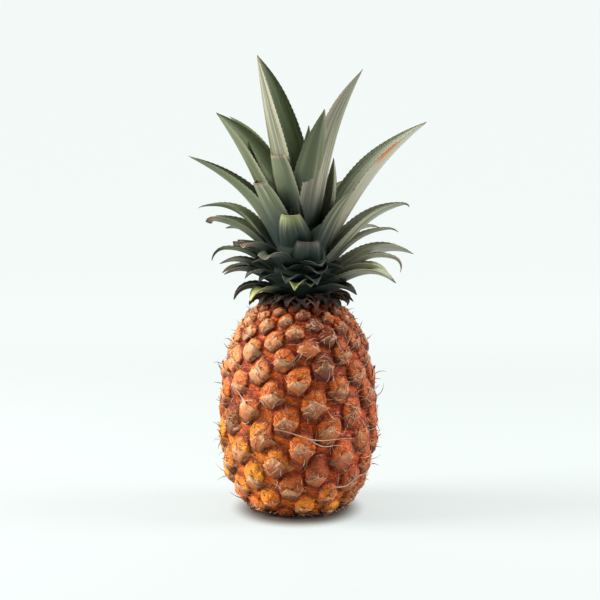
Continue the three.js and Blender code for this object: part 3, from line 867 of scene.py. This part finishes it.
def add_blade(batch, blade, root_radius, toothed, seed):
    """One channelled leaf as a closed thin shell, with toothed margins or plain ones."""
    draw = random.Random(seed)
    _, length = keel_line(blade, root_radius, 8)
    pitch = TOOTH_PITCH / 2 if toothed else PLAIN_PITCH
    rows = max(FEWEST_ROWS, int(length / pitch)) + 1
    line, _ = keel_line(blade, root_radius, rows)
    share = np.linspace(0, 1, rows)
    turn = math.radians(blade["turn"])
    outward = np.array([math.cos(turn), math.sin(turn), 0])
    sideways = np.array([-math.sin(turn), math.cos(turn), 0])
    keel = np.asarray(CROWN_MIDDLE, float) + line[:, :1] * outward
    keel[:, 2] += line[:, 1]
    way = np.gradient(line, axis=0)
    way /= np.linalg.norm(way, axis=1)[:, None]
    inward = -way[:, 1:] * outward
    inward[:, 2] = way[:, 0]
    half = half_widths(blade, share)
    angle = folds(blade, share)[:, None]
    bend = half[:, None] / angle
    ripple = RIPPLE_HEIGHT * np.sin(share * length / RIPPLE_LENGTH + draw.uniform(0, 6))
    tooth = np.zeros(rows)
    if toothed:
        # Every second row is a tooth, and the teeth shrink over the last third
        tooth[1::2] = TOOTH_DEPTH * np.clip(3 * (1 - share[1::2]), 0, 1)
    across = np.linspace(-1, 1, BLADE_COLUMNS)[None, :]
    wide = across * (1 + np.where(np.abs(across) > 0.99, (tooth / half)[:, None], 0))
    spread = bend * np.sin(angle * wide)
    depth = bend * (1 - np.cos(angle * wide)) + ripple[:, None] * across ** 2
    middle = keel[:, None] + spread[..., None] * sideways + depth[..., None] * inward[:, None]
    normal = -np.sin(angle * across)[..., None] * sideways
    normal = normal + np.cos(angle * across)[..., None] * inward[:, None]
    thick = (KEEL_THICKNESS - TIP_THINNING * share)[:, None] * (1 - MARGIN_THINNING * across ** 2)
    thick = np.minimum(thick + MARGIN_THICKNESS, 0.4 * bend)[..., None]
    inner, outer = middle + normal * thick, middle - normal * thick
    # The sides face into the leaf and the turned rim faces out, which is how the looks were judged
    points, faces = closed_sheet(inner, outer, rows, BLADE_COLUMNS, turned_rim=True)
    tint = draw.random()
    batch.add(
        points,
        faces,
        along=np.tile(np.repeat(share, BLADE_COLUMNS), 2),
        across=np.tile(across[0], 2 * rows),
        inside=np.repeat([1.0, 0.0], rows * BLADE_COLUMNS),
        tint=tint if blade["tint"] is None else blade["tint"],
        blunt=1 - blade["cut"],
        **{label: blade[label] for label in ("dry", "pale", "yellow", "scar")},
    )


LEAF_LABELS = ("along", "across", "inside", "tint", "dry", "pale", "yellow", "blunt", "scar")
CROWN_MIDDLE = (CROWN_SHIFT, 0, FRUIT_HEIGHT)


def leaf_batch(leaves, seed):
    batch = Batch(*LEAF_LABELS)
    for index, blade in enumerate(leaves):
        add_blade(batch, blade, ROOT_RADIUS, True, seed + index)
    return batch


def heart_batch():
    """The short stem inside the crown, hidden among the leaves' bases."""
    batch = Batch()
    faces = grid_faces(len(HEART_PROFILE), HEART_SIDES, closed=True)
    batch.add(turned_points(HEART_PROFILE, HEART_SIDES, CROWN_MIDDLE), faces)
    return batch


def collar_batch():
    """Small dead leaves around the neck, curled over the fruit's shoulder."""
    batch = Batch("along", "across", "tint")
    draw = random.Random(23)
    for index in range(COLLAR_LEAVES):
        turn = 360 * index / COLLAR_LEAVES + draw.uniform(-7, 7)
        shape = dict(sheath=20, fold=draw.uniform(25, 60), curl=draw.uniform(2, 6))
        shape["curl_turn"] = draw.uniform(20, 110)
        level = draw.uniform(0, 1)
        reach = 29 + 6 * draw.random()
        tip = 1.2 + 5 * level * draw.random()
        width = draw.uniform(8, 14)
        blade = leaf(turn, 1 + 3.5 * level, reach, tip, 18 * level, -25, width, **shape)
        add_blade(batch, blade, COLLAR_ROOT_RADIUS, False, 900 + index)
    return batch


# Materials

def painted_upper_left_light(shader, x, z):
    """Painted light: where the upper left of the fruit is made paler, as if lit from the left."""
    return shader.times(shader.span(x, 0.0, -0.035), shader.span(z, 0.085, 0.115))


def warmed(shader, body, x, z):
    """The fruit's colours, of a stronger orange low in the middle and at the right, and brighter near
    the foot as painted light.
    """
    low = shader.times(shader.span(z, 0.105, 0.050), shader.span(x, -0.034, 0.004))
    glow = shader.mix(low, (1.0, 0.92, 0.83, 1), (1.06, 0.82, 0.66, 1))
    # Painted light: near the foot the colours are made brighter, standing in for light bounced up
    # from the floor.
    glow = shader.ramp(z, 0.026, 0.010, glow, (1.40, 1.20, 1.05, 1))
    return shader.mix(1.0, body, glow, "MULTIPLY")


def rind_material():
    """Juicy orange skin, redder in the valleys and browner on the knobs; painted shade darkens the
    valleys round the knobs, their lower sides, the creases and, in part, the fruit's right, and
    painted light makes the upper left paler.
    """
    shader = Shader("rind", roughness=0.5, Specular_IOR_Level=0.28)
    mix, span, times = shader.mix, shader.span, shader.times
    ramp, stain = shader.ramp, shader.stain
    place = shader.place()
    x, y, z = shader.axes(place)
    knob, upness, tint, bruise = shader.attributes("knob", "upness", "tint", "bruise")
    broad = shader.noise(place, 34, 3)
    middle = shader.noise(place, 170, 4, 0.6)
    fine = shader.noise(place, 480, 5, 0.65)
    flat_place = shader.vector(x, y, times(z, 2.1))
    fold = shader.noise(flat_place, 150, 3, 0.55)
    fold = shader.size(shader.minus(fold, 0.5))
    left = span(x, 0.012, -0.034)
    low = span(z, 0.088, 0.058)
    # Towards the fruit's right the colours turn browner and darker: partly the skin's own browner
    # tone, partly painted shade on the side away from the light.
    right = span(x, 0.004, 0.050)
    gold_share = times(left, low)
    gold_share = shader.maths("MAXIMUM", gold_share, times(span(z, 0.030, 0.008), 0.8))
    gold_share = times(gold_share, span(broad, 0.36, 0.56))
    flesh = ramp(middle, 0.38, 0.66, (164, 56, 12), (232, 108, 20))
    flesh = ramp(broad, 0.50, 0.68, flesh, (156, 52, 18))
    gold = ramp(middle, 0.38, 0.60, (226, 112, 16), (246, 156, 26))
    flesh = mix(gold_share, flesh, gold)
    # Partly browner tone, partly painted shade on the right.
    flesh = stain(flesh, right, 0.4, 150, 60, 30)
    top = ramp(fine, 0.40, 0.62, (200, 88, 22), (238, 132, 42))
    top = ramp(tint, 0.72, 0.95, top, (178, 90, 48))
    # Partly browner tone, partly painted shade on the right.
    top = stain(top, right, 0.6, 156, 76, 42)
    top = stain(top, gold_share, 0.85, 246, 164, 40)
    on_knob = shader.plus(knob, times(shader.minus(middle, 0.5), 0.5))
    # Painted light: the upper left of the skin is made paler, as if lit from the left.
    top = stain(top, painted_upper_left_light(shader, x, z), 0.6, 242, 178, 122)
    skin = ramp(on_knob, 0.30, 0.74, flesh, top)
    cap = times(span(knob, 0.80, 0.97), span(middle, 0.44, 0.58))
    skin = stain(skin, cap, 0.5, 220, 158, 116)
    bruised = times(bruise, span(knob, 0.2, 0.6, 0.2, 0.75))
    skin = mix(bruised, skin, (92, 42, 36))
    # Painted shade: a dark ring in the valley round the foot of each knob.
    foot = times(span(on_knob, 0.0, 0.22), span(on_knob, 0.60, 0.30))
    skin = stain(skin, foot, 0.7, 94, 30, 14)
    # Painted shade: the lower side of each knob is darkened, where the knob overhangs.
    lower = span(upness, 0.05, -0.45)
    painted_shade_under_knob = times(lower, span(knob, 0.02, 0.30))
    skin = stain(skin, painted_shade_under_knob, 0.8, 88, 36, 26)
    in_valley = span(knob, 0.75, 0.15)
    # Dark lines in the wrinkles of the valleys: partly the skin's own dark creases, partly painted
    # shade in them.
    crease = times(span(fold, 0.05, 0.0), span(middle, 0.42, 0.60))
    crease = times(crease, span(knob, 1.0, 0.2))
    skin = stain(skin, crease, 0.6, 104, 34, 14)
    fibre = shader.noise(shader.vector(x, y, times(z, 5.0)), 210, 4, 0.65)
    pale_fibre = times(span(fibre, 0.56, 0.66), span(knob, 1.1, 0.3))
    skin = stain(skin, pale_fibre, 0.4, 236, 152, 84)
    dark_fibre = times(span(fibre, 0.43, 0.34), in_valley)
    skin = stain(skin, dark_fibre, 0.6, 98, 34, 16)
    speck = times(span(fine, 0.55, 0.70), in_valley)
    skin = stain(skin, speck, 0.6, 100, 36, 18)
    skin = stain(skin, span(fine, 0.40, 0.30), 0.5, 224, 154, 96)
    base = span(z, 0.009, 0.001)
    skin = stain(skin, base, 0.7, 66, 40, 28)
    shader.finish("Base Color", warmed(shader, skin, x, z))
    shader.finish("Roughness", span(fine, 0.3, 0.7, 0.34, 0.62))
    rough = shader.bump(middle, 0.6, 0.0024)
    rough = shader.bump(span(fold, 0.0, 0.08), 0.7, 0.0012, rough)
    shader.finish("Normal", shader.bump(fine, 0.5, 0.0009, rough))
    return shader.material


def bract_material():
    """Dry papery scales, mauve grey at the foot and pale tan towards the tip; the very foot is darker
    partly as painted shade, the fruit's right is darker partly as painted shade, and the upper left
    is paler as painted light.
    """
    shader = Shader("bract", roughness=0.75, Specular_IOR_Level=0.15)
    span, ramp, stain = shader.span, shader.ramp, shader.stain
    place = shader.place()
    x, _, z = shader.axes(place)
    along, across, tint = shader.attributes("along", "across", "tint")
    shade, bruise = shader.attributes("shade", "bruise")
    streak = shader.noise(shader.streaks(across, along, tint, (5.0, 0.9, 40.0)), 2.2, 4, 0.7)
    fine = shader.noise(place, 520, 4, 0.7)
    blotch = shader.noise(place, 120, 3)
    right = span(x, 0.004, 0.050)
    mauve = ramp(tint, 0.2, 0.8, (142, 94, 80), (172, 112, 76))
    mauve = ramp(shade, 0.6, 0.95, mauve, (108, 64, 52))
    pale = ramp(streak, 0.35, 0.65, (186, 132, 98), (236, 204, 172))
    reach = shader.plus(along, shader.times(shader.minus(streak, 0.5), 0.7))
    # Partly painted shade: the very foot of each bract, tucked under the knob, turns dark brown.
    body = ramp(reach, -0.05, 0.30, (78, 38, 30), mauve)
    body = ramp(reach, 0.36, 0.74, body, pale)
    body = stain(body, span(blotch, 0.48, 0.62), 0.75, 200, 104, 44)
    # Towards the right the bracts turn browner and darker: partly their own tone, partly painted
    # shade on the side away from the light.
    body = stain(body, right, 0.55, 142, 72, 44)
    # Painted light: the upper left bracts are made paler, as if lit from the left.
    body = stain(body, painted_upper_left_light(shader, x, z), 0.4, 244, 190, 146)
    body = stain(body, bruise, 0.7, 100, 58, 54)
    rim = span(shader.size(across), 0.70, 1.0)
    body = stain(body, rim, 0.5, 222, 180, 136)
    body = stain(body, span(fine, 0.56, 0.74), 0.6, 96, 60, 44)
    shader.finish("Base Color", warmed(shader, body, x, z))
    shader.finish("Normal", shader.bump(streak, 0.6, 0.0008, shader.bump(fine, 0.5, 0.0006)))
    return shader.material


def wisp_material():
    """Dry threads, dark or pale, and paler further out."""
    shader = Shader("wisp", roughness=0.85)
    along, tint = shader.attributes("along", "tint")
    dry = shader.ramp(tint, 0.35, 0.65, (92, 66, 56), (214, 186, 156))
    shader.finish("Base Color", shader.ramp(along, 0.0, 0.5, (150, 104, 78), dry))
    return shader.material


def leaf_material():
    """Stiff leaves, silvery outside and grey green inside, dark at the base, which is partly their
    own dark green and partly painted shade deep in the crown, and paler on the crown's right as
    painted light.
    """
    shader = Shader("crown_leaf", roughness=0.55, Specular_IOR_Level=0.45)
    mix, span, times = shader.mix, shader.span, shader.times
    ramp, stain = shader.ramp, shader.stain
    place = shader.place()
    x, y, z = shader.axes(place)
    along, across, inside, tint, dry, pale, yellow, blunt, scarred = shader.attributes(*LEAF_LABELS)
    streak_place = shader.streaks(across, along, tint, (7.0, 1.2, 60.0))
    streak = shader.noise(streak_place, 2.4, 4, 0.7)
    broad = shader.noise(streak_place, 0.6, 3)
    silver = ramp(streak, 0.3, 0.7, (98, 104, 84), (178, 176, 156))
    green = ramp(streak, 0.3, 0.7, (80, 94, 62), (126, 136, 98))
    mauve = mix(streak, (120, 112, 98), (178, 170, 152))
    silver = ramp(tint, 0.5, 0.9, silver, mauve)
    patch = shader.maths("MULTIPLY_ADD", shader.minus(pale, 0.5), 0.35, broad)
    olive = mix(streak, (62, 76, 50), (112, 118, 88))
    silver = ramp(patch, 0.42, 0.62, olive, silver)
    green = ramp(broad, 0.45, 0.7, green, (80, 94, 66))
    silvery = ramp(streak, 0.3, 0.7, (116, 126, 100), (178, 180, 154))
    green = ramp(pale, 0.45, 0.8, green, silvery)
    blade = mix(inside, silver, green)
    # Painted light: leaves on the crown's right are made paler, as if well lit.
    blade = stain(blade, span(x, 0.026, 0.064), 0.32, 196, 200, 184)
    margin = span(shader.size(across), 0.82, 1.0)
    blade = stain(blade, margin, 0.32, 170, 166, 140)
    keel = span(shader.size(across), 0.16, 0.0)
    blade = stain(blade, keel, 0.25, 160, 160, 138)
    # How far up and out of the crown's dark middle each point is
    depth = times(shader.minus(shader.distance(x, y), 0.015), 2.0)
    depth = shader.plus(shader.minus(z, 0.147), depth)
    depth = shader.plus(depth, times(shader.minus(broad, 0.5), 0.03))
    end = shader.plus(along, times(shader.minus(streak, 0.5), 0.12))
    dry_start = shader.minus(1.0, times(dry, 1.5))
    brown = span(end, dry_start, 1.0)
    dead = ramp(tint, 0.4, 0.6, (54, 46, 40), (124, 104, 86))
    dead = ramp(blunt, 0.05, 0.10, dead, (152, 136, 120))
    blade = mix(brown, blade, dead)
    # Leaves darken towards the crown's deep middle: partly the bases' own dark green, partly painted
    # shade; paler leaves get less of it.
    base = span(depth, 0.105, 0.055)
    base = times(base, span(pale, 0.55, 0.9, 0.9, 0.5))
    blade = mix(base, blade, (24, 42, 42))
    lime_start = shader.minus(1.0, times(yellow, 0.6))
    lime = times(span(end, lime_start, 1.0), yellow)
    blade = mix(lime, blade, (196, 204, 130))
    scar = times(scarred, span(end, 0.62, 0.68))
    scar = times(scar, span(end, 0.84, 0.76))
    scar = times(scar, span(across, -0.72, -0.98))
    blade = mix(scar, blade, mix(streak, (196, 92, 34), (168, 118, 60)))
    shader.finish("Base Color", blade)
    shader.finish("Roughness", span(streak, 0.3, 0.7, 0.46, 0.66))
    ribs = times(streak, span(along, 0.85, 0.30))
    shader.finish("Normal", shader.bump(ribs, 0.35, 0.0006))
    return shader.material


def heart_material():
    """The stem deep inside the crown, nearly black green as painted shade deep in the crown."""
    shader = Shader("crown_heart", roughness=0.8, Specular_IOR_Level=0.2)
    speckle = shader.noise(shader.place(), 220, 4)
    shader.finish("Base Color", shader.mix(speckle, (20, 34, 32), (40, 54, 46)))
    return shader.material


def dead_leaf_material():
    """Dead leaves, nearly black brown with rusty streaks."""
    shader = Shader("dead_leaf", roughness=0.8, Specular_IOR_Level=0.3)
    place = shader.place()
    along, across, tint = shader.attributes("along", "across", "tint")
    streak = shader.noise(shader.streaks(across, along, tint, (6.0, 1.0, 50.0)), 2.5, 4, 0.7)
    dark = shader.ramp(streak, 0.3, 0.7, (30, 26, 26), (74, 56, 46))
    rusty = shader.times(shader.span(tint, 0.6, 0.9), shader.span(streak, 0.4, 0.7))
    dark = shader.mix(rusty, dark, (128, 80, 52))
    shader.finish("Base Color", dark)
    fine = shader.bump(shader.noise(place, 600, 3), 0.3, 0.0003)
    shader.finish("Normal", shader.bump(streak, 0.5, 0.0006, fine))
    return shader.material


def floor_material():
    """A matt pale floor that turns into an evenly lit screen further back, with a painted contact
    shadow round the fruit's foot.
    """
    shader = Shader("floor", roughness=0.9, Specular_IOR_Level=0.1)
    x, y, _ = shader.axes(shader.place())
    screen = shader.span(y, 0.25, 0.9)
    away = shader.distance(shader.times(x, SHADE_SQUEEZE), y)
    # Painted shadow: the floor turns darker and browner close round the fruit's foot.
    matt = shader.ramp(away, SHADE_REACH, CONTACT_SHADOW_REACH, (118, 123, 124), (104, 96, 90))
    shader.finish("Base Color", shader.mix(screen, matt, (0, 0, 0, 1)))
    shader.finish("Emission Color", (242, 249, 247))
    # Painted shadow: the floor glows less close round the fruit's foot.
    glow = shader.span(away, CONTACT_SHADOW_REACH, SHADE_REACH, CONTACT_SHADOW_GLOW, FLOOR_GLOW)
    rest = shader.minus(1.0, glow)
    shader.finish("Emission Strength", shader.maths("MULTIPLY_ADD", screen, rest, glow))
    return shader.material


# The pieces

def add_scar(material):
    """The round scar of the cut stalk, flat in the middle of the base."""
    faces = grid_faces(len(SCAR_PROFILE), SCAR_SIDES, closed=True)
    batch = Batch("knob", "upness", "tint", "bruise")
    points = turned_points(SCAR_PROFILE, SCAR_SIDES)
    batch.add(points, [tuple(reversed(face)) for face in faces], knob=0.4)
    piece = batch.piece("stalk_scar", material, "fruit")


def add_object():
    rind = rind_material()
    leaves = leaf_material()
    fruit = rind_batch().piece("rind", rind, "fruit")
    add_scar(rind)
    bracts = bract_batch().piece("bracts", bract_material(), "fruit")
    wisps = wisp_batch().piece("wisps", wisp_material(), "fruit")
    draw = Draws(7)
    rows = [blade for row in BACK_ROWS + FRONT_ROWS for blade in row_of_leaves(row, draw)]
    groups = {
        "inner_leaves": INNER_LEAVES,
        "middle_leaves": MIDDLE_LEAVES,
        "outer_leaves": OUTER_LEAVES,
        "row_leaves": rows,
    }
    for seed, (name, members) in enumerate(groups.items()):
        piece = leaf_batch(members, 100 * seed).piece(name, leaves, "crown")
    heart = heart_batch().piece("crown_heart", heart_material(), "crown")
    collar = collar_batch().piece("dead_leaves", dead_leaf_material(), "neck_collar")


def add_floor():
    """A pale floor that curves up into a pale wall far behind."""
    depths = list(np.linspace(FLOOR_FRONT, FLOOR_BACK, 8))
    heights = [0.0] * 8
    for step in range(1, 13):
        angle = math.pi / 2 * step / 12
        depths.append(FLOOR_BACK + WALL_BEND * math.sin(angle))
        heights.append(WALL_BEND * (1 - math.cos(angle)))
    depths.append(FLOOR_BACK + WALL_BEND)
    heights.append(WALL_TOP)
    points = []
    for depth, height in zip(depths, heights):
        points += [(-FLOOR_HALF, depth, height), (FLOOR_HALF, depth, height)]
    mesh = bpy.data.meshes.new("floor")
    mesh.from_pydata(points, [], [tuple(reversed(face)) for face in grid_faces(len(depths), 2)])
    mesh.polygons.foreach_set("use_smooth", [True] * len(mesh.polygons))
    mesh.materials.append(floor_material())
    floor = new_object("floor", mesh)


def add_light(name, place, aim, size, power, tone):
    data = bpy.data.lights.new(name, "AREA")
    data.shape = "DISK"
    data.size = size
    data.energy = power
    data.color = tone
    light = new_object(name, data)
    light.location = place
    way = np.array(aim) - np.array(place)
    flat = math.hypot(way[0], way[1])
    light.rotation_euler = (math.atan2(flat, -way[2]), 0, math.atan2(way[1], way[0]) - math.pi / 2)


def add_lights():
    world = bpy.data.worlds.new("studio")
    bpy.context.scene.world = world
    world.use_nodes = True
    background = world.node_tree.nodes["Background"]
    background.inputs["Color"].default_value = (0.94, 1.0, 0.98, 1)
    background.inputs["Strength"].default_value = 0.14
    middle = (0, 0, 0.14)
    add_light("left softbox", (-1.25, -0.06, 0.75), middle, 0.9, 38, (1.0, 0.97, 0.91))
    add_light("right softbox", (1.25, 0.0, 0.70), middle, 0.9, 23, (1.0, 0.98, 0.94))
    add_light("top softbox", (-0.2, -0.05, 1.7), middle, 1.0, 9, (0.98, 1.0, 1.0))


def add_camera():
    data = bpy.data.cameras.new("camera")
    data.lens = CAMERA_LENS
    data.sensor_width = 36
    data.clip_end = 20
    camera = new_object("camera", data)
    back = np.array([0, -math.cos(CAMERA_ELEVATION), math.sin(CAMERA_ELEVATION)])
    place = (np.array(CAMERA_AIM) + back * CAMERA_DISTANCE) * MM
    camera.location = tuple(place)
    camera.rotation_euler = (math.pi / 2 - CAMERA_ELEVATION, 0, 0)
    bpy.context.scene.camera = camera


add_camera()
add_floor()
add_lights()
add_object()

view = bpy.context.scene.view_settings
view.view_transform = "Standard"
view.look = "None"

bpy.context.view_layer.update()
